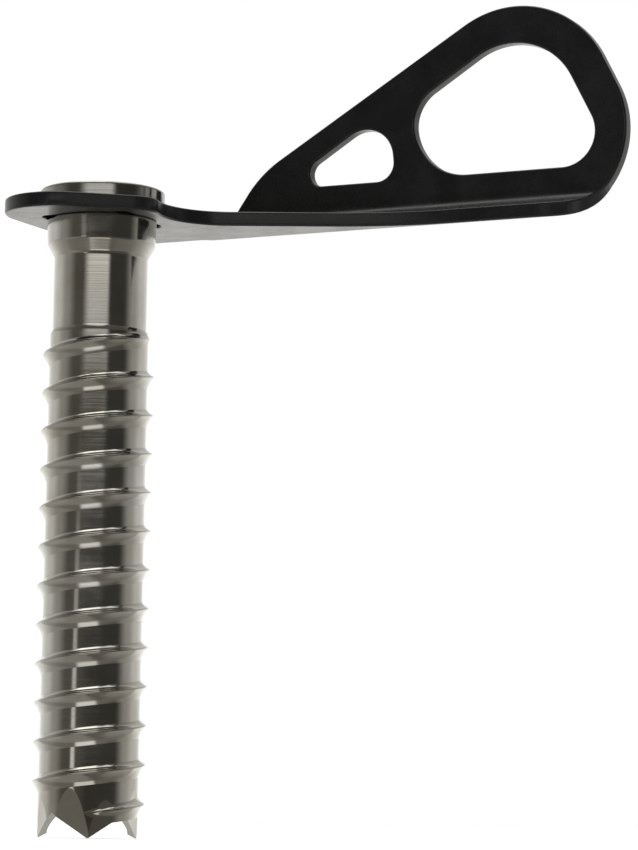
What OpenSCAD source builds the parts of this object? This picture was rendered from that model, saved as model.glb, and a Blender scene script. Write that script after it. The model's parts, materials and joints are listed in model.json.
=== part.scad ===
// Tubular ice screw with a folded sheet-metal hanger.
// Origin: on the tube axis, where the hanger's underside rests on the collar.
// +Z runs up the tube towards the head, +X along the hanger's arm, +Y towards its folded leaf.

/* [Tube] */
// Length from the tips of the teeth to the top of the head
screw_length = 119.2; // [100:0.1:220]
// Diameter of the open bore
bore_d = 14.6; // [12:0.1:15]
// Diameter of the plain neck
neck_d = 17.3; // [16.5:0.1:17.6]
// Length of the plain neck and collar below the hanger
neck_length = 20.6; // [15:0.1:40]
// Diameter of the collar that the hanger rests on
collar_d = 20.3; // [20:0.1:21]
// Diameter at the lower end of the collar's slightly tapered wall
collar_foot_d = 19.9; // [19.5:0.1:20]
// Height of the collar's wall
collar_h = 4.6; // [3:0.1:5]
// Height of the cone between collar and neck
collar_cone_h = 2.4; // [1:0.1:5]

/* [Thread] */
// Diameter at the foot of the thread
thread_root_d = 18.1; // [17.7:0.1:19]
// Diameter over the crests of the thread
thread_crest_d = 20.4; // [19.5:0.1:22]
// Distance between neighbouring crests
thread_pitch = 7.12; // [6:0.01:9]
// Full turns of thread between the run-outs
thread_turns = 12; // [8:1:12]
// How far the ridge's foot reaches above its crest
ridge_above = 1.2; // [1:0.1:1.8]
// How far the ridge's foot reaches below its crest
ridge_below = 2.3; // [1.5:0.1:2.6]
// Width of the ridge at its crest
ridge_crest_w = 0.35; // [0.2:0.05:1]

/* [Teeth] */
// Number of teeth
tooth_count = 4; // [3:1:5]
// Height of the teeth
tooth_h = 4.5; // [3:0.1:8]
// Angle of the first tooth from the hanger's arm
tooth_phase = 30; // [0:1:90]
// Slope of the two flats ground on each tooth
grind_tilt = 5; // [3:0.5:8]

/* [Hanger] */
// Thickness of the hanger's sheet
sheet_t = 2.7; // [2:0.1:3]
// Inside radius of the fold between base and leaf
fold_r = 3; // [2:0.1:4]
// Distance from the tube's axis to the start of the fold
fold_y = 24; // [22:0.5:28]
// Width of the base around the tube
base_w = 29; // [28.6:0.1:29.4]
// Distance from the tube's axis to the free end of the base
base_end = 18.4; // [18:0.1:19]
// Distance from the tube's axis to the leaf's lower outer corner, before rounding
leaf_reach = 104.1; // [101:0.1:106]
// Play between each flat of the square seat and the hanger
seat_play = 0.1; // [0.05:0.05:0.2]

/* [Head ring] */
// Diameter of the ring
ring_d = 23.2; // [22.6:0.1:24]
// Height of the ring
ring_h = 2.9; // [2.5:0.1:4]
// Radius of the ring's polished upper edge
ring_edge_r = 0.5; // [0.2:0.1:1.2]

/* [Hidden] */
$fn = 96;

head_top = sheet_t + ring_h;
tip_z = head_top - screw_length;
gullet_z = tip_z + tooth_h;

// Square seat that keys the hanger: width over its flats, radius of its turned corners,
// and how far it is turned from the hanger's arm
seat_flats = 17.2;
seat_corner_r = 9.8;
seat_turn = 5;
// Corner radius of the hanger's square hole, which leaves the corners open past the collar
hole_corner_r = 1.9;
// Spigot above the seat, and the rolled lip that locks the ring
spigot_r = 8.4;
lip_r = 9.3;
lip_h = lip_r - spigot_r;
bore_chamfer = 0.5;
// Height of the cone from the neck to the threaded length, and chamfer of the collar's rims
thread_step = 0.7;
rim_chamfer = 0.35;
// A little more than the part that a cutter goes through
clear = 1;

// Two flats ground on each tooth: how far round from the tooth's middle, heights of their tops
grind_turn = 21;
grind_heights = [8.8, 6.8];
// Outside radius at the very tip, where the two flats meet
tip_r = (thread_root_d / 2 - grind_heights[0] * tan(grind_tilt)) / cos(grind_turn);

// Where the first turn of thread begins: direction from the hanger's arm, height of its crest
thread_start = 30;
thread_top_z = -neck_length - 1.2;
// Turns that the thread runs on past its ends, and turns over which its height fades out
top_tail = 0.04;
top_fade = 0.4;
bottom_tail = 0.26;
bottom_fade = 0.26;
// Sections in a turn, and how deep the ridge's foot sits in the wall
turn_steps = 26;
thread_foot_sink = 0.35;

// Where the web's edge stops along the fold, and how far it stands out from the fold there
web_end = 74;
web_lip = 0.1;
// Corners of the hanger's outlines: x, y (or height), corner radius
base_outline = [
    [-base_w / 2, fold_y, 9],
    [-base_w / 2, -base_end, 10.5],
    [0, -base_end, 7.5],
    [base_w / 2, -6.7, 5.9],
    [11.1, 7.8, 12.2],
    [48.9, fold_y - web_lip, 60],
    [web_end, fold_y - web_lip, 0],
    [web_end, fold_y, 0]
];
leaf_outline = [
    [9.6, 0, 0],
    [18.8, 12.7, 22],
    [78.8, 48.5, 19.5],
    [leaf_reach, 0, 16.5]
];
eye_outline = [
    [49.7, 23, 7.3],
    [75.7, 39.2, 13.3],
    [91.2, 9.6, 6.3],
    [53.7, 9.6, 11]
];
tether_outline = [
    [22.9, 9.5, 2.6],
    [45.6, 23.6, 5.8],
    [47.2, 9.5, 3.4]
];

hole_half = seat_flats / 2 + seat_play;
hole_outline = [
    [-hole_half, -hole_half, hole_corner_r],
    [hole_half, -hole_half, hole_corner_r],
    [hole_half, hole_half, hole_corner_r],
    [-hole_half, hole_half, hole_corner_r]
];

// Points of a corner of an outline, rounded to its own radius.
// before and after are its neighbours, corner holds x, y and radius.
function unit(v) = v / norm(v);
function xy(p) = [p[0], p[1]];
function round_corner(before, corner, after, steps = 14) =
    let (
        u = unit(xy(before) - xy(corner)),
        v = unit(xy(after) - xy(corner)),
        half = acos(u * v) / 2,
        r = corner[2],
        centre = xy(corner) + unit(u + v) * r / sin(half),
        start = xy(corner) + u * r / tan(half),
        turn = (u[0] * v[1] - u[1] * v[0] > 0 ? -1 : 1) * (180 - 2 * half),
        arm = start - centre
    )
    r == 0
        ? [xy(corner)]
        : [for (i = [0:steps])
            let (a = turn * i / steps)
            centre + [arm[0] * cos(a) - arm[1] * sin(a), arm[0] * sin(a) + arm[1] * cos(a)]];

function rounded(outline) =
    let (n = len(outline))
    [for (i = [0:n - 1])
        each round_corner(outline[(i + n - 1) % n], outline[i], outline[(i + 1) % n])];

// Heights on the ridge, as shares of its full height, at which its section has points
ridge_shares = [0, 0.12, 0.35, 0.65, 1];

// Distance from the crest's middle of a hollow flank, at a share of the ridge's height
function flank(reach, share) =
    ridge_crest_w / 2
    + (reach - ridge_crest_w / 2) * (0.55 * (1 - share) + 0.45 * pow(1 - share, 3));

// The full section at a run-out factor from 0 to 1: radius, height from the crest's middle
function ridge_section(grow) =
    let (
        foot_r = thread_root_d / 2,
        sunk_r = foot_r - thread_foot_sink,
        rise = grow * (thread_crest_d / 2 - foot_r) - (1 - grow) * thread_foot_sink / 2,
        n = len(ridge_shares)
    )
    concat(
        [[sunk_r, -ridge_below]],
        [for (t = ridge_shares) [foot_r + t * rise, -flank(ridge_below, t)]],
        [for (i = [n - 1:-1:0])
            let (t = ridge_shares[i])
            [foot_r + t * rise, flank(ridge_above, t)]],
        [[sunk_r, ridge_above]]
    );

function grow_at(turn) =
    let (
        from_bottom = (turn + bottom_tail) / bottom_fade,
        from_top = (thread_turns + top_tail - turn) / top_fade
    )
    sin(90 * max(0, min(1, from_bottom, from_top)));

module tube_blank() {
    rotate_extrude()
        difference() {
            union() {
                polygon([
                    [0, tip_z],
                    [thread_root_d / 2, tip_z],
                    [thread_root_d / 2, -neck_length - thread_step],
                    [neck_d / 2, -neck_length],
                    [neck_d / 2, -collar_h - collar_cone_h],
                    [collar_foot_d / 2 - rim_chamfer, -collar_h],
                    [collar_foot_d / 2, -collar_h + rim_chamfer],
                    [collar_d / 2, -rim_chamfer],
                    [collar_d / 2 - rim_chamfer, 0],
                    [0, 0]
                ]);
                square([spigot_r, head_top]);
                polygon([
                    [0, head_top - lip_h],
                    [spigot_r, head_top - lip_h],
                    [lip_r, head_top],
                    [0, head_top]
                ]);
            }
            translate([0, tip_z - clear])
                square([bore_d / 2, screw_length + 2 * clear]);
            polygon([
                [0, head_top - bore_chamfer],
                [bore_d / 2, head_top - bore_chamfer],
                [bore_d / 2 + bore_chamfer, head_top],
                [0, head_top]
            ]);
        }
}

module square_seat() {
    difference() {
        intersection() {
            cylinder(r = seat_corner_r, h = sheet_t);
            rotate([0, 0, seat_turn])
                translate([-seat_flats / 2, -seat_flats / 2, 0])
                    cube([seat_flats, seat_flats, sheet_t]);
        }
        translate([0, 0, -clear])
            cylinder(d = bore_d, h = sheet_t + 2 * clear);
    }
}

// V-shaped gullet between two teeth, cut straight through the wall
module gullet() {
    half_w = tip_r * sin(180 / tooth_count);
    rotate([90, 0, 90])
        linear_extrude(height = thread_root_d)
            polygon([
                [0, gullet_z],
                [-half_w * (1 + clear / tooth_h), tip_z - clear],
                [half_w * (1 + clear / tooth_h), tip_z - clear]
            ]);
}

// Cutters for the two sloping flats on the outside of a tooth
module grind() {
    for (i = [0:1])
        rotate([0, 0, (2 * i - 1) * grind_turn])
            translate([thread_root_d / 2, 0, tip_z + grind_heights[i]])
                rotate([0, grind_tilt, 0])
                    translate([0, -thread_root_d / 2, -2 * grind_heights[i]])
                        cube([thread_root_d / 2, thread_root_d, 2 * grind_heights[i]]);
}

module tube() {
    color([0.72, 0.71, 0.68])
        difference() {
            union() {
                tube_blank();
                square_seat();
            }
            for (i = [0:tooth_count - 1])
                rotate([0, 0, tooth_phase + (i + 0.5) * 360 / tooth_count]) {
                    gullet();
                    rotate([0, 0, -180 / tooth_count])
                        grind();
                }
        }
}

module thread() {
    first = -bottom_tail;
    last = thread_turns + top_tail;
    steps = ceil((last - first) * turn_steps);
    sections = [for (i = [0:steps])
        let (
            turn = first + (last - first) * i / steps,
            a = thread_start + 360 * turn,
            z = thread_top_z + (turn - thread_turns) * thread_pitch
        )
        [for (p = ridge_section(grow_at(turn))) [p[0] * cos(a), p[0] * sin(a), z + p[1]]]];
    n = len(sections[0]);
    sides = [for (i = [0:steps - 1], j = [0:n - 1])
        let (k = (j + 1) % n)
        each [
            [i * n + j, i * n + k, (i + 1) * n + k],
            [i * n + j, (i + 1) * n + k, (i + 1) * n + j]
        ]];
    ends = [
        [for (j = [n - 1:-1:0]) j],
        [for (j = [0:n - 1]) steps * n + j]
    ];
    color([0.80, 0.79, 0.76])
        polyhedron(points = [for (s = sections) each s], faces = concat(sides, ends), convexity = 10);
}

module hanger_base() {
    difference() {
        linear_extrude(height = sheet_t)
            polygon(rounded(base_outline));
        translate([0, 0, -clear])
            rotate([0, 0, seat_turn])
                linear_extrude(height = sheet_t + 2 * clear)
                    polygon(rounded(hole_outline));
    }
}

// Fold and leaf as one bent strip, before its outline is cut
module bent_strip() {
    outer_r = fold_r + sheet_t;
    strip_l = leaf_reach;
    translate([0, fold_y, 0])
        rotate([90, 0, 90])
            linear_extrude(height = strip_l) {
                difference() {
                    intersection() {
                        translate([0, outer_r])
                            circle(r = outer_r);
                        square([outer_r, outer_r]);
                    }
                    translate([0, outer_r])
                        circle(r = fold_r);
                }
                translate([fold_r, outer_r])
                    square([sheet_t, leaf_reach / 2]);
            }
}

module hanger_leaf() {
    intersection() {
        bent_strip();
        translate([0, fold_y + fold_r + sheet_t + clear, 0])
            rotate([90, 0, 0])
                linear_extrude(height = fold_r + sheet_t + 2 * clear)
                    difference() {
                        polygon(rounded(leaf_outline));
                        polygon(rounded(eye_outline));
                        polygon(rounded(tether_outline));
                    }
    }
}

module hanger() {
    color([0.09, 0.09, 0.10])
        union() {
            hanger_base();
            hanger_leaf();
        }
}

module head_ring() {
    color([0.66, 0.65, 0.62])
        translate([0, 0, sheet_t])
            rotate_extrude()
                difference() {
                    union() {
                        square([ring_d / 2, ring_h - ring_edge_r]);
                        square([ring_d / 2 - ring_edge_r, ring_h]);
                        translate([ring_d / 2 - ring_edge_r, ring_h - ring_edge_r])
                            circle(r = ring_edge_r);
                    }
                    square([spigot_r, ring_h]);
                    polygon([
                        [spigot_r, ring_h - lip_h],
                        [lip_r, ring_h],
                        [0, ring_h]
                    ]);
                }
}

tube();
thread();
hanger();
head_ring();
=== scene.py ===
# Ice screw: polished steel tube with a right-hand thread, retaining ring and folded black hanger.
import json
import math

import bmesh
import bpy
from mathutils import Matrix, Vector


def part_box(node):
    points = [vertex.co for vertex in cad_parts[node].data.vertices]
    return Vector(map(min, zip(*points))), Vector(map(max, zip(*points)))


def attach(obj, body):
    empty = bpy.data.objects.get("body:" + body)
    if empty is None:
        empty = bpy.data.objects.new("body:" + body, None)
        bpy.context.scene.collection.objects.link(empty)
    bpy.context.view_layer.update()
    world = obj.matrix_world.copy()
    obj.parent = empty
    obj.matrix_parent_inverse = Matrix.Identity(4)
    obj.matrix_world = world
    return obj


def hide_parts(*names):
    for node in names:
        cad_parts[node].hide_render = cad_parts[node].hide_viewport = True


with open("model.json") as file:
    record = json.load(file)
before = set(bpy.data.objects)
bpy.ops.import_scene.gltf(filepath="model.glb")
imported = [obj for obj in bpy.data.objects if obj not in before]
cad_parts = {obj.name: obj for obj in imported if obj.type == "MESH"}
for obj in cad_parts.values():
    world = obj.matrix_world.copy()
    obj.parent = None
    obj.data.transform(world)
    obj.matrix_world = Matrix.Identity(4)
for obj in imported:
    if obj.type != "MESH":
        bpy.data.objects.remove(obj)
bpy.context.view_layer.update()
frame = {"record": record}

MM = 0.001

# ---------------------------------------------------------------- sizes, from the frame
tube_low, tube_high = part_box("tube")
hanger_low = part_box("hanger")[0]
ring_low, ring_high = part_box("head_ring")
mounts = {m["name"]: m for m in frame["record"]["mounts"]}

TIP_Z = tube_low.z
HEAD_Z = tube_high.z
COLLAR_R = tube_high.x
BORE_R = mounts["core_bore"]["dims"]["r_mm"] * MM
CREST_R = 10.2 * MM
SHEET_T = ring_low.z
RING_R = ring_high.x
RING_H = ring_high.z - ring_low.z

# Sizes that the frame's boxes don't give, in the same units
NECK_R = 8.65 * MM
ROOT_R = 9.05 * MM
SPIGOT_R = 8.4 * MM
LIP_R = 9.3 * MM
SEAT_FLATS = 17.2 * MM
SEAT_CORNER_R = 9.8 * MM
SEAT_TURN = math.radians(5)
SEAT_PLAY = 0.1 * MM
HOLE_CORNER_R = 1.9 * MM
COLLAR_FOOT_R = 9.95 * MM
COLLAR_H = 4.6 * MM
CONE_H = 2.4 * MM
NECK_L = 20.6 * MM
STEP_H = 0.7 * MM

# Teeth
TOOTH_COUNT = 4
TOOTH_H = 4.5 * MM
TOOTH_PHASE = math.radians(30)
GRIND_TILT = math.radians(5)
GRIND_TURN = math.radians(21)
GRIND_TOPS = (8.8 * MM, 6.8 * MM)

# Thread
PITCH = 7.12 * MM
THREAD_TURNS = 12
THREAD_START = math.radians(30)
THREAD_TOP_Z = -NECK_L - 1.2 * MM
TOP_TAIL, TOP_FADE = 0.04, 0.40
BOTTOM_TAIL, BOTTOM_FADE = 0.26, 0.26
# How far the ridge's foot reaches above and below its crest, and half the crest's width
RIDGE_ABOVE = 1.2 * MM
RIDGE_BELOW = 2.3 * MM
RIDGE_CREST = 0.16 * MM

# Hanger
FOLD_R = 3.0 * MM
FOLD_Y = 24.0 * MM


# ---------------------------------------------------------------- mesh helpers
def new_object(name, verts, faces, smooth_angle=30.0):
    mesh = bpy.data.meshes.new(name)
    mesh.from_pydata([tuple(v) for v in verts], [], faces)
    mesh.validate()
    bm = bmesh.new()
    bm.from_mesh(mesh)
    bmesh.ops.remove_doubles(bm, verts=bm.verts, dist=1e-7)
    bmesh.ops.recalc_face_normals(bm, faces=bm.faces)
    bm.to_mesh(mesh)
    bm.free()
    obj = bpy.data.objects.new(name, mesh)
    bpy.context.scene.collection.objects.link(obj)
    soften(obj, smooth_angle)
    return obj


def soften(obj, smooth_angle):
    """Smooth shading that keeps edges sharper than the angle, with flat faces kept flat."""
    for poly in obj.data.polygons:
        poly.use_smooth = True
    obj.data.set_sharp_from_angle(angle=math.radians(smooth_angle))
    weighted = obj.modifiers.new("weighted normals", "WEIGHTED_NORMAL")
    weighted.keep_sharp = True
    weighted.weight = 80


def lathe(name, profile, segments=192, smooth_angle=30.0):
    """Closed ring turned about Z from a closed profile of (radius, height) points."""
    verts, faces = [], []
    rows = len(profile)
    for i in range(segments):
        a = 2 * math.pi * i / segments
        verts += [(r * math.cos(a), r * math.sin(a), z) for r, z in profile]
    for i in range(segments):
        k = (i + 1) % segments
        for j in range(rows):
            m = (j + 1) % rows
            faces.append((i * rows + j, k * rows + j, k * rows + m, i * rows + m))
    return new_object(name, verts, faces, smooth_angle)


def arc_points(cx, cy, r, start, end, steps):
    """Points of an arc in degrees, both ends included."""
    angles = [math.radians(start + (end - start) * i / steps) for i in range(steps + 1)]
    return [(cx + r * math.cos(a), cy + r * math.sin(a)) for a in angles]


def rounded(outline, steps=20):
    """Outline of (x, y, corner radius) points with each corner turned into an arc."""
    points = []
    count = len(outline)
    for i, (x, y, r) in enumerate(outline):
        corner = Vector((x, y))
        u = (Vector(outline[i - 1][:2]) - corner).normalized()
        v = (Vector(outline[(i + 1) % count][:2]) - corner).normalized()
        if r == 0:
            points.append((x, y))
            continue
        half = math.acos(max(-1.0, min(1.0, u.dot(v)))) / 2
        centre = corner + (u + v).normalized() * (r / math.sin(half))
        arm = corner + u * (r / math.tan(half)) - centre
        turn = math.pi - 2 * half
        if u.x * v.y - u.y * v.x > 0:
            turn = -turn
        for k in range(steps + 1):
            a = turn * k / steps
            c, s = math.cos(a), math.sin(a)
            points.append((centre.x + arm.x * c - arm.y * s, centre.y + arm.x * s + arm.y * c))
    return points


# ---------------------------------------------------------------- tube
def ground_radius(angle, z):
    """Outside radius of the tube at its toothed end, where each tooth has two ground flats."""
    r = ROOT_R
    for k in range(TOOTH_COUNT):
        middle = TOOTH_PHASE + 2 * math.pi * k / TOOTH_COUNT
        for side, height in zip((-1, 1), GRIND_TOPS):
            top = TIP_Z + height
            off = (angle - middle - side * GRIND_TURN + math.pi) % (2 * math.pi) - math.pi
            if z < top and abs(off) < math.pi / 4:
                r = min(r, (ROOT_R - (top - z) * math.tan(GRIND_TILT)) / math.cos(off))
    return r


def edge_z(angle, r):
    """Height of the tube's toothed edge at a direction and radius."""
    sector = 2 * math.pi / TOOTH_COUNT
    off = (angle - TOOTH_PHASE) % sector - sector / 2
    tip_r = (ROOT_R - GRIND_TOPS[0] * math.tan(GRIND_TILT)) / math.cos(GRIND_TURN)
    return TIP_Z + TOOTH_H * (1 - abs(r * math.sin(off)) / (tip_r * math.sin(sector / 2)))


def outer_edge(angle):
    r = ROOT_R
    for _ in range(12):
        z = edge_z(angle, r)
        r = ground_radius(angle, z)
    return r, z


def collar_foot():
    """Profile from the collar's wall to the neck: a rounded knee, a short cone and a soft hollow."""
    slope = math.degrees(math.atan2(COLLAR_FOOT_R - NECK_R, CONE_H))
    taper = math.degrees(math.atan2(COLLAR_R - COLLAR_FOOT_R, COLLAR_H))
    knee_r, hollow_r = 1.0 * MM, 1.6 * MM
    knee_in = knee_r * math.tan(math.radians(slope / 2))
    hollow_in = hollow_r * math.tan(math.radians(slope / 2))
    points = arc_points(COLLAR_FOOT_R - knee_r, -COLLAR_H + knee_in, knee_r, -taper, -slope, 8)
    hollow = arc_points(NECK_R + hollow_r, -COLLAR_H - CONE_H - hollow_in, hollow_r, 180 - slope, 180, 8)
    return points + hollow


def make_tube():
    columns = 720
    grind_z = TIP_Z + GRIND_TOPS[0] + 0.4 * MM
    grind_rows = 44
    rim = 0.22 * MM
    # Outside profile from the lip down to the grinding zone
    outside = [(LIP_R - 0.12 * MM, HEAD_Z), (LIP_R, HEAD_Z - 0.1 * MM)]
    outside += [(SPIGOT_R, HEAD_Z - (LIP_R - SPIGOT_R) - 0.1 * MM)]
    outside += [(SPIGOT_R, SHEET_T), (SPIGOT_R, 0.02 * MM)]
    outside += [(COLLAR_R - rim, 0.0)]
    outside += arc_points(COLLAR_R - rim, -rim, rim, 72, 0, 6)
    wall_top, knee = outside[-1], collar_foot()
    # Rows close to both ends keep the long wall's shading straight
    span = (knee[0][0] - wall_top[0], knee[0][1] - wall_top[1])
    outside += [(wall_top[0] + span[0] * t, wall_top[1] + span[1] * t) for t in (0.03, 0.97)]
    outside += knee
    outside += [(NECK_R, knee[-1][1] - 0.2 * MM)]
    outside += [(NECK_R, -NECK_L + 0.3 * MM), (NECK_R + 0.02 * MM, -NECK_L)]
    outside += [(ROOT_R - 0.03 * MM, -NECK_L - STEP_H + 0.05 * MM), (ROOT_R, -NECK_L - STEP_H - 0.2 * MM)]
    outside += [(ROOT_R, grind_z)]
    inside = [(BORE_R, grind_z), (BORE_R, -20 * MM), (BORE_R, HEAD_Z - 0.6 * MM)]
    inside += [(BORE_R + 0.08 * MM, HEAD_Z - 0.42 * MM), (BORE_R + 0.42 * MM, HEAD_Z - 0.08 * MM)]
    inside += [(BORE_R + 0.6 * MM, HEAD_Z)]
    verts, faces = [], []
    for i in range(columns):
        a = 2 * math.pi * i / columns
        column = list(outside)
        edge_r, z_out = outer_edge(a)
        for k in range(1, grind_rows):
            z = grind_z + (z_out - grind_z) * k / grind_rows
            column.append((ground_radius(a, z), z))
        column.append((edge_r, z_out))
        z_in = edge_z(a, BORE_R)
        for t in (1 / 3, 2 / 3):
            r = edge_r + (BORE_R - edge_r) * t
            column.append((r, edge_z(a, r)))
        column.append((BORE_R, z_in))
        column += inside
        rows = len(column)
        verts += [(r * math.cos(a), r * math.sin(a), z) for r, z in column]
    for i in range(columns):
        k = (i + 1) % columns
        for j in range(rows):
            m = (j + 1) % rows
            faces.append((i * rows + j, k * rows + j, k * rows + m, i * rows + m))
    return new_object("screw_tube", verts, faces, 24.0)


def make_square_seat():
    """Square boss under the ring that keys the hanger, with corners left round from turning."""
    edge = 0.15 * MM
    half = SEAT_FLATS / 2
    sweep = math.pi / 4 - math.acos(half / SEAT_CORNER_R)
    outline = []
    for k in range(4):
        middle = SEAT_TURN + math.pi / 4 + k * math.pi / 2
        for i in range(9):
            a = middle - sweep + 2 * sweep * i / 8
            outline.append((SEAT_CORNER_R * math.cos(a), SEAT_CORNER_R * math.sin(a)))
    shrink = (SEAT_CORNER_R - edge) / SEAT_CORNER_R
    rings = [(1.0, 0.0), (1.0, SHEET_T - edge), (shrink, SHEET_T)]
    count = len(outline)
    verts = [(x * s, y * s, z) for s, z in rings for x, y in outline]
    inner = SPIGOT_R - 0.2 * MM
    angles = [math.atan2(y, x) for x, y in outline]
    verts += [(inner * math.cos(a), inner * math.sin(a), z) for z in (SHEET_T, 0.0) for a in angles]
    faces = []
    loops = len(rings) + 2
    for j in range(loops):
        m = (j + 1) % loops
        for i in range(count):
            k = (i + 1) % count
            faces.append((j * count + i, j * count + k, m * count + k, m * count + i))
    return new_object("square_seat", verts, faces)


# ---------------------------------------------------------------- thread
def flank(reach, share):
    """Distance from the crest's middle of a hollow flank, at a share of the ridge's height."""
    left = 1 - share
    return RIDGE_CREST + (reach - RIDGE_CREST) * (0.55 * left + 0.45 * left ** 3)


def ridge_section(grow):
    """Section of the ridge, (radius, height) points: steep above, gentle below, crest rounded."""
    steps = 12
    rise = grow * (CREST_R - ROOT_R)
    sink = 0.03 * MM + (1 - grow) * 0.12 * MM
    crest = ROOT_R + rise
    shares = [i / steps for i in range(steps + 1)]
    low = [(ROOT_R - sink + (rise + sink) * t, -flank(RIDGE_BELOW, t)) for t in shares]
    high = [(ROOT_R - sink + (rise + sink) * t, flank(RIDGE_ABOVE, t)) for t in reversed(shares)]
    # A bead of this radius rounds the crest; its middle lies a little inside it
    tip_r, tip_sink = 0.22 * MM, 0.152 * MM
    turns = [math.radians(a) for a in (-34, -22, -11, 0, 11, 22, 34)]
    tip = [(crest + grow * (tip_r * math.cos(a) - tip_sink), tip_r * math.sin(a)) for a in turns]
    foot = ROOT_R - 0.5 * MM
    return [(foot, -RIDGE_BELOW)] + low + tip + high + [(foot, RIDGE_ABOVE)]


def make_thread():
    turn_steps = 120
    first, last = -BOTTOM_TAIL, THREAD_TURNS + TOP_TAIL
    steps = math.ceil((last - first) * turn_steps)
    verts, faces = [], []
    for i in range(steps + 1):
        turn = first + (last - first) * i / steps
        ends = ((turn + BOTTOM_TAIL) / BOTTOM_FADE, (last - turn) / TOP_FADE, 1.0)
        grow = math.sin(math.pi / 2 * max(0.0, min(ends)))
        section = ridge_section(grow)
        a = THREAD_START + 2 * math.pi * turn
        z0 = THREAD_TOP_Z + (turn - THREAD_TURNS) * PITCH
        verts += [(r * math.cos(a), r * math.sin(a), z0 + z) for r, z in section]
    n = len(section)
    for i in range(steps):
        for j in range(n):
            k = (j + 1) % n
            faces.append((i * n + j, i * n + k, (i + 1) * n + k, (i + 1) * n + j))
    faces.append(tuple(reversed(range(n))))
    faces.append(tuple(steps * n + j for j in range(n)))
    return new_object("screw_thread", verts, faces, 50.0)


# ---------------------------------------------------------------- ring
def make_ring():
    edge = 0.55 * MM
    foot = 0.25 * MM
    lip = LIP_R - SPIGOT_R
    top = SHEET_T + RING_H
    profile = [(SPIGOT_R + 0.02 * MM, SHEET_T), (RING_R - foot, SHEET_T)]
    profile += arc_points(RING_R - foot, SHEET_T + foot, foot, -90, 0, 6)[1:]
    profile += arc_points(RING_R - edge, top - edge, edge, 0, 90, 14)
    profile += [(LIP_R + 0.25 * MM, top), (LIP_R + 0.08 * MM, top - 0.1 * MM)]
    profile += [(SPIGOT_R + 0.02 * MM, top - lip - 0.15 * MM)]
    return lathe("retaining_ring", profile, 256)


# ---------------------------------------------------------------- hanger
# Length of the bend along the middle of the sheet
BEND_L = (FOLD_R + SHEET_T / 2) * math.pi / 2
# Added to a height on the leaf, gives the distance along the flat blank
LEAF_SHIFT = FOLD_Y + BEND_L - FOLD_R - SHEET_T


# Corners of the holes in the leaf: x, height, corner radius, in millimetres
EYE = [(49.7, 23, 7.3), (75.7, 39.2, 13.3), (91.2, 9.6, 6.3), (53.7, 9.6, 11.0)]
TETHER_HOLE = [(22.9, 9.5, 2.6), (45.6, 23.6, 5.8), (47.2, 9.5, 3.4)]


def on_leaf(outline):
    """Outline in millimetres with heights on the leaf, moved to its place on the flat blank."""
    return [(x * MM, z * MM + LEAF_SHIFT, r * MM) for x, z, r in outline]


def blank_outline():
    end = hanger_low.y
    near = FOLD_Y - 0.1 * MM
    half_w = -hanger_low.x
    base = [
        (-half_w, FOLD_Y, 9 * MM),
        (-half_w, end, 10.5 * MM),
        (0, end, 7.5 * MM),
        (half_w, -6.7 * MM, 5.9 * MM),
        (11.1 * MM, 7.8 * MM, 12.2 * MM),
        (48.9 * MM, near, 60 * MM),
        (104.6 * MM, near, 17.5 * MM),
    ]
    leaf = on_leaf([(78.8, 48.5, 19.5), (18.8, 12.7, 22)])
    foot = [(9.3 * MM, FOLD_Y, 2.5 * MM)]
    return base + leaf + foot


def seat_outline():
    """Square hole whose rounded corners stay open past the collar."""
    half = SEAT_FLATS / 2 + SEAT_PLAY
    corners = ((-half, -half), (half, -half), (half, half), (-half, half))
    square = rounded([(x, y, HOLE_CORNER_R) for x, y in corners], 16)
    c, s = math.cos(SEAT_TURN), math.sin(SEAT_TURN)
    return [(x * c - y * s, x * s + y * c) for x, y in square]


def fold(co):
    """Place on the folded hanger of a point of the flat blank."""
    x, y, z = co
    if y <= FOLD_Y:
        return Vector((x, y, z))
    r = FOLD_R + SHEET_T - z
    along = y - FOLD_Y
    if along < BEND_L:
        a = along / BEND_L * math.pi / 2
        return Vector((x, FOLD_Y + r * math.sin(a), FOLD_R + SHEET_T - r * math.cos(a)))
    return Vector((x, FOLD_Y + r, FOLD_R + SHEET_T + along - BEND_L))


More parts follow.
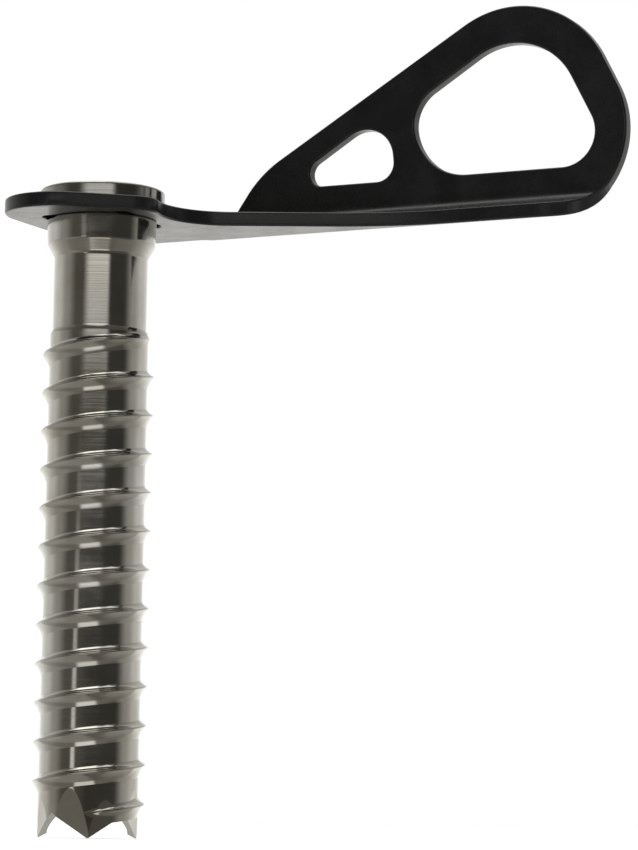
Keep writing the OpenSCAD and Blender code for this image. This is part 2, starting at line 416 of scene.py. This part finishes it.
def make_hanger():
    edge = 0.42 * MM
    curve = bpy.data.curves.new("hanger_blank", "CURVE")
    curve.dimensions = "2D"
    curve.fill_mode = "BOTH"
    outlines = [
        rounded(blank_outline(), 36),
        seat_outline(),
        rounded(on_leaf(EYE), 28),
        rounded(on_leaf(TETHER_HOLE), 24),
    ]
    for points in outlines:
        spline = curve.splines.new("POLY")
        spline.points.add(len(points) - 1)
        for p, (x, y) in zip(spline.points, points):
            p.co = (x, y, 0, 1)
        spline.use_cyclic_u = True
    curve.extrude = SHEET_T / 2 - edge
    curve.bevel_depth = edge
    curve.bevel_resolution = 3
    curve.offset = -edge
    flat = bpy.data.objects.new("hanger_flat", curve)
    bpy.context.scene.collection.objects.link(flat)
    bpy.context.view_layer.update()
    mesh = bpy.data.meshes.new_from_object(flat.evaluated_get(bpy.context.evaluated_depsgraph_get()))
    bpy.data.objects.remove(flat)
    bpy.data.curves.remove(curve)
    bm = bmesh.new()
    bm.from_mesh(mesh)
    bmesh.ops.remove_doubles(bm, verts=bm.verts, dist=2e-7)
    bmesh.ops.translate(bm, verts=bm.verts, vec=(0, 0, SHEET_T / 2))
    cuts = 20
    lines = [FOLD_Y + BEND_L * i / cuts for i in range(cuts + 1)]
    lines += [FOLD_Y - 0.4 * MM, FOLD_Y + BEND_L + 0.4 * MM]
    for y in lines:
        bmesh.ops.bisect_plane(bm, geom=bm.verts[:] + bm.edges[:] + bm.faces[:], dist=1e-8,
                               plane_co=(0, y, 0), plane_no=(0, 1, 0))
    for v in bm.verts:
        v.co = fold(v.co)
    bmesh.ops.recalc_face_normals(bm, faces=bm.faces)
    bm.to_mesh(mesh)
    bm.free()
    mesh.name = "hanger_plate"
    obj = bpy.data.objects.new("hanger_plate", mesh)
    bpy.context.scene.collection.objects.link(obj)
    soften(obj, 35.0)
    return obj


# ---------------------------------------------------------------- materials
def material(name):
    mat = bpy.data.materials.new(name)
    mat.use_nodes = True
    tree = mat.node_tree
    return mat, tree, tree.nodes["Principled BSDF"]


def add(tree, kind, **values):
    node = tree.nodes.new(kind)
    for key, value in values.items():
        if key in node.inputs:
            node.inputs[key].default_value = value
        else:
            setattr(node, key, value)
    return node


def steel(name, tint, rough, groove_scale, groove_depth):
    """Polished plated steel: fine turning marks round the axis, faint clouding and smears."""
    mat, tree, shader = material(name)
    link = tree.links.new
    shader.inputs["Metallic"].default_value = 1.0
    place = add(tree, "ShaderNodeTexCoord")
    turned = add(tree, "ShaderNodeMapping")
    turned.inputs["Scale"].default_value = (40, 40, groove_scale)
    link(place.outputs["Object"], turned.inputs["Vector"])
    marks = add(tree, "ShaderNodeTexNoise", Scale=1.0, Detail=5.0, Roughness=0.65)
    link(turned.outputs["Vector"], marks.inputs["Vector"])
    cloud = add(tree, "ShaderNodeTexNoise", Scale=90.0, Detail=4.0, Roughness=0.55)
    link(place.outputs["Object"], cloud.inputs["Vector"])
    # Colour: a slightly warm grey that clouds a little
    shade = add(tree, "ShaderNodeValToRGB")
    shade.color_ramp.elements[0].position = 0.30
    shade.color_ramp.elements[0].color = (tint[0] * 0.80, tint[1] * 0.78, tint[2] * 0.73, 1)
    shade.color_ramp.elements[1].position = 0.68
    shade.color_ramp.elements[1].color = (tint[0], tint[1], tint[2], 1)
    link(cloud.outputs["Fac"], shade.inputs["Fac"])
    link(shade.outputs["Color"], shader.inputs["Base Color"])
    # Roughness: marks and clouds together
    both = add(tree, "ShaderNodeMath", operation="MULTIPLY")
    link(marks.outputs["Fac"], both.inputs[0])
    link(cloud.outputs["Fac"], both.inputs[1])
    gloss = add(tree, "ShaderNodeMapRange")
    gloss.inputs["From Min"].default_value = 0.12
    gloss.inputs["From Max"].default_value = 0.42
    gloss.inputs["To Min"].default_value = rough * 0.6
    gloss.inputs["To Max"].default_value = rough * 1.6
    link(both.outputs["Value"], gloss.inputs["Value"])
    link(gloss.outputs["Result"], shader.inputs["Roughness"])
    bump = add(tree, "ShaderNodeBump", Strength=groove_depth, Distance=0.00003)
    link(marks.outputs["Fac"], bump.inputs["Height"])
    link(bump.outputs["Normal"], shader.inputs["Normal"])
    return mat


def black_coat(name):
    """Smooth black coating on sheet metal: faint orange peel, handling scuffs and dust."""
    mat, tree, shader = material(name)
    link = tree.links.new
    shader.inputs["Metallic"].default_value = 0.0
    shader.inputs["IOR"].default_value = 1.5
    place = add(tree, "ShaderNodeTexCoord")
    peel = add(tree, "ShaderNodeTexNoise", Scale=900.0, Detail=2.0, Roughness=0.5)
    wear = add(tree, "ShaderNodeTexNoise", Scale=120.0, Detail=6.0, Roughness=0.7)
    link(place.outputs["Object"], peel.inputs["Vector"])
    link(place.outputs["Object"], wear.inputs["Vector"])
    shade = add(tree, "ShaderNodeValToRGB")
    shade.color_ramp.elements[0].position = 0.35
    shade.color_ramp.elements[0].color = (0.0065, 0.0065, 0.0075, 1)
    shade.color_ramp.elements[1].position = 0.75
    shade.color_ramp.elements[1].color = (0.014, 0.014, 0.016, 1)
    link(wear.outputs["Fac"], shade.inputs["Fac"])
    link(shade.outputs["Color"], shader.inputs["Base Color"])
    gloss = add(tree, "ShaderNodeMapRange")
    gloss.inputs["From Min"].default_value = 0.3
    gloss.inputs["From Max"].default_value = 0.75
    gloss.inputs["To Min"].default_value = 0.20
    gloss.inputs["To Max"].default_value = 0.34
    link(wear.outputs["Fac"], gloss.inputs["Value"])
    link(gloss.outputs["Result"], shader.inputs["Roughness"])
    bump = add(tree, "ShaderNodeBump", Strength=0.10, Distance=0.00004)
    link(peel.outputs["Fac"], bump.inputs["Height"])
    link(bump.outputs["Normal"], shader.inputs["Normal"])
    return mat


def dress(obj, mat):
    obj.data.materials.clear()
    obj.data.materials.append(mat)


# ---------------------------------------------------------------- assembly
tube_steel = steel("plated tube steel", (0.64, 0.63, 0.60), 0.12, 2600, 0.10)
thread_steel = steel("plated thread steel", (0.64, 0.63, 0.60), 0.13, 700, 0.03)
ring_steel = steel("polished ring steel", (0.42, 0.415, 0.40), 0.13, 3200, 0.12)
coat = black_coat("black hanger coating")

tube = make_tube()
seat = make_square_seat()
thread = make_thread()
ring = make_ring()
hanger = make_hanger()
for piece, mat in ((tube, tube_steel), (seat, tube_steel), (thread, thread_steel),
                   (ring, ring_steel), (hanger, coat)):
    dress(piece, mat)
    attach(piece, "root")
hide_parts("tube")
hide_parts("thread")
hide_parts("head_ring")
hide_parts("hanger")

# ---------------------------------------------------------------- floor
FLOOR_HALF = 6.0
floor_mesh = bpy.data.meshes.new("floor")
floor_corners = [(x * FLOOR_HALF, y * FLOOR_HALF, TIP_Z) for x, y in ((-1, -1), (1, -1), (1, 1), (-1, 1))]
floor_mesh.from_pydata(floor_corners, [], [(0, 1, 2, 3)])
floor = bpy.data.objects.new("floor", floor_mesh)
bpy.context.scene.collection.objects.link(floor)
floor_mat, _, floor_shader = material("pale floor")
floor_shader.inputs["Base Color"].default_value = (0.8, 0.8, 0.8, 1)
floor_shader.inputs["Roughness"].default_value = 0.9
floor_shader.inputs["Emission Color"].default_value = (1, 1, 1, 1)
floor_shader.inputs["Emission Strength"].default_value = 0.62
floor_mesh.materials.append(floor_mat)
# The room below gives the reflections, so polished parts don't mirror the floor itself
floor.visible_glossy = False

# ---------------------------------------------------------------- camera
VIEW_AZ = math.radians(30)
VIEW_DISTANCE = 0.600
VIEW_Z = -0.110
# How far the view is turned from the screw's axis: to the right, up, and about itself
VIEW_YAW = math.radians(3.9087)
VIEW_PITCH = math.radians(6.9228)
VIEW_ROLL = math.radians(0.95)
LENS_MM = 138.48

camera_data = bpy.data.cameras.new("camera")
camera_data.sensor_width = 36
camera_data.lens = LENS_MM
camera_data.clip_start = 0.01
camera = bpy.data.objects.new("camera", camera_data)
bpy.context.scene.collection.objects.link(camera)
toward = Vector((-math.sin(VIEW_AZ), math.cos(VIEW_AZ), 0))
right = Vector((math.cos(VIEW_AZ), math.sin(VIEW_AZ), 0))
ahead = toward * math.cos(VIEW_YAW) + right * math.sin(VIEW_YAW)
side = right * math.cos(VIEW_YAW) - toward * math.sin(VIEW_YAW)
aim = ahead * math.cos(VIEW_PITCH) + Vector((0, 0, 1)) * math.sin(VIEW_PITCH)
up = Vector((0, 0, 1)) * math.cos(VIEW_PITCH) - ahead * math.sin(VIEW_PITCH)
cam_x = side * math.cos(VIEW_ROLL) + up * math.sin(VIEW_ROLL)
cam_y = up * math.cos(VIEW_ROLL) - side * math.sin(VIEW_ROLL)
basis = Matrix((cam_x, cam_y, -aim)).transposed().to_4x4()
eye = -toward * VIEW_DISTANCE + Vector((0, 0, VIEW_Z))
camera.matrix_world = Matrix.Translation(eye) @ basis
bpy.context.scene.camera = camera


# ---------------------------------------------------------------- light
def softbox(name, turn_deg, elevation_deg, distance, width, height, radiance):
    """Rectangular light facing the screw. turn is counted from the camera's side, to the right."""
    data = bpy.data.lights.new(name, "AREA")
    data.shape = "RECTANGLE"
    data.size = width
    data.size_y = height
    data.energy = radiance * math.pi * width * height
    lamp = bpy.data.objects.new(name, data)
    bpy.context.scene.collection.objects.link(lamp)
    a = VIEW_AZ + math.radians(turn_deg)
    e = math.radians(elevation_deg)
    out = Vector((math.sin(a) * math.cos(e), -math.cos(a) * math.cos(e), math.sin(e)))
    target = Vector((0, 0, -0.05))
    lamp.location = target + out * distance
    lamp.rotation_euler = out.to_track_quat("Z", "Y").to_euler()
    lamp.visible_camera = False


softbox("top", 180, 82, 1.8, 1.6, 1.6, 1.0)

# The room: radiance by direction around the screw, in degrees from the camera's side, to the right.
# A bright backdrop behind the screw wraps round to its sides, and the camera's side is dark.
LEFT_SIDE = [(-180, 1.1), (-120, 0.7), (-90, 0.35), (-60, 0.1)]
RIGHT_SIDE = [(60, 0.05), (90, 0.4), (120, 0.7), (180, 1.1)]


def front(*lamps):
    """Backdrop and sides with lamps on the camera's side."""
    return LEFT_SIDE + list(lamps) + RIGHT_SIDE


# Each band is a height in the room, from straight below to straight above
DEEP = [(-180, 0.25), (-45, 0.3), (0, 0.3), (30, 0.15), (180, 0.25)]
FLOOR = [(-180, 0.6), (-60, 0.3), (0, 0.3), (30, 0.15), (90, 0.3), (180, 0.6)]
BENCH = [(-180, 0.6), (-60, 0.2), (-35, 0.2), (-25, 1.0), (15, 1.0), (25, 0.2), (60, 0.2), (180, 0.6)]
BELOW = [(-180, 1.3), (-90, 0.35), (-40, 0.2), (-20, 0.1), (60, 0.1), (90, 0.35), (180, 1.3)]
STRIP_LAMP = front((-45, 0.1), (-42, 1.0), (-37, 1.0), (-32, 0.1), (0, 0.05))
DARK = front((0, 0.05))
DIM_WINDOW = front((-45, 0.1), (-25, 0.4), (15, 0.4), (25, 0.05))
WINDOW = front((-45, 0.1), (-25, 1.2), (15, 1.2), (25, 0.05))
WALL = [(-180, 0.7), (-60, 0.1), (60, 0.1), (180, 0.7)]
TOP = [(-180, 1.2), (-80, 1.4), (10, 1.4), (25, 0.15), (140, 0.3), (180, 1.2)]
# Band, with the two heights (sine of the elevation) between which the band before it turns into it
BANDS = [(DEEP, None), (FLOOR, (-0.93, -0.88)), (BENCH, (-0.71, -0.66)), (BELOW, (-0.54, -0.47)),
         (STRIP_LAMP, (-0.06, -0.01)), (DARK, (0.0, 0.11)), (DIM_WINDOW, (0.13, 0.15)),
         (WINDOW, (0.155, 0.175)), (WALL, (0.22, 0.34)), (TOP, (0.84, 0.90))]
# The room is warmer where it is dark, and full white from this radiance up
WARM_DARK, WARM_LIGHT = (1.0, 0.93, 0.78), (1.0, 0.985, 0.95)
LIGHT_FROM = 0.5

world = bpy.data.worlds.new("studio")
world.use_nodes = True
nodes, links = world.node_tree.nodes, world.node_tree.links


def math_node(operation, first, second=None):
    node = nodes.new("ShaderNodeMath")
    node.operation = operation
    for slot, value in enumerate((first, second)):
        if value is None:
            continue
        if isinstance(value, float):
            node.inputs[slot].default_value = value
        else:
            links.new(value, node.inputs[slot])
    return node.outputs["Value"]


def azimuth_ramp(turn, stops):
    ramp = nodes.new("ShaderNodeValToRGB").color_ramp
    ramp.interpolation = "EASE"
    for i, (angle, level) in enumerate(stops):
        at = (angle + 180) / 360
        stop = ramp.elements[i] if i < 2 else ramp.elements.new(at)
        stop.position = at
        share = min(1.0, level / LIGHT_FROM)
        tint = [d + (w - d) * share for d, w in zip(WARM_DARK, WARM_LIGHT)]
        stop.color = (level * tint[0], level * tint[1], level * tint[2], 1)
    node = nodes[-1]
    links.new(turn, node.inputs["Fac"])
    return node.outputs["Color"]


coordinates = nodes.new("ShaderNodeTexCoord")
facing = nodes.new("ShaderNodeMapping")
facing.vector_type = "POINT"
facing.inputs["Rotation"].default_value = (0, 0, -VIEW_AZ)
links.new(coordinates.outputs["Generated"], facing.inputs["Vector"])
split = nodes.new("ShaderNodeSeparateXYZ")
links.new(facing.outputs["Vector"], split.inputs["Vector"])
toward_camera = math_node("MULTIPLY", split.outputs["Y"], -1.0)
angle = math_node("ARCTAN2", split.outputs["X"], toward_camera)
turn = math_node("ADD", math_node("DIVIDE", angle, 2 * math.pi), 0.5)
colour = None
for stops, heights in BANDS:
    band = azimuth_ramp(turn, stops)
    if colour is None:
        colour = band
        continue
    blend = nodes.new("ShaderNodeMapRange")
    blend.interpolation_type = "SMOOTHSTEP"
    blend.inputs["From Min"].default_value = heights[0]
    blend.inputs["From Max"].default_value = heights[1]
    links.new(split.outputs["Z"], blend.inputs["Value"])
    mixer = nodes.new("ShaderNodeMix")
    mixer.data_type = "RGBA"
    links.new(blend.outputs["Result"], mixer.inputs["Factor"])
    links.new(colour, mixer.inputs[6])
    links.new(band, mixer.inputs[7])
    colour = mixer.outputs[2]
room = nodes["Background"]
links.new(colour, room.inputs["Color"])
paper = nodes.new("ShaderNodeBackground")
paper.inputs["Color"].default_value = (1, 1, 1, 1)
mix = nodes.new("ShaderNodeMixShader")
ray = nodes.new("ShaderNodeLightPath")
links.new(ray.outputs["Is Camera Ray"], mix.inputs["Fac"])
links.new(room.outputs["Background"], mix.inputs[1])
links.new(paper.outputs["Background"], mix.inputs[2])
links.new(mix.outputs["Shader"], nodes["World Output"].inputs["Surface"])
bpy.context.scene.world = world
bpy.context.scene.view_settings.view_transform = "Standard"
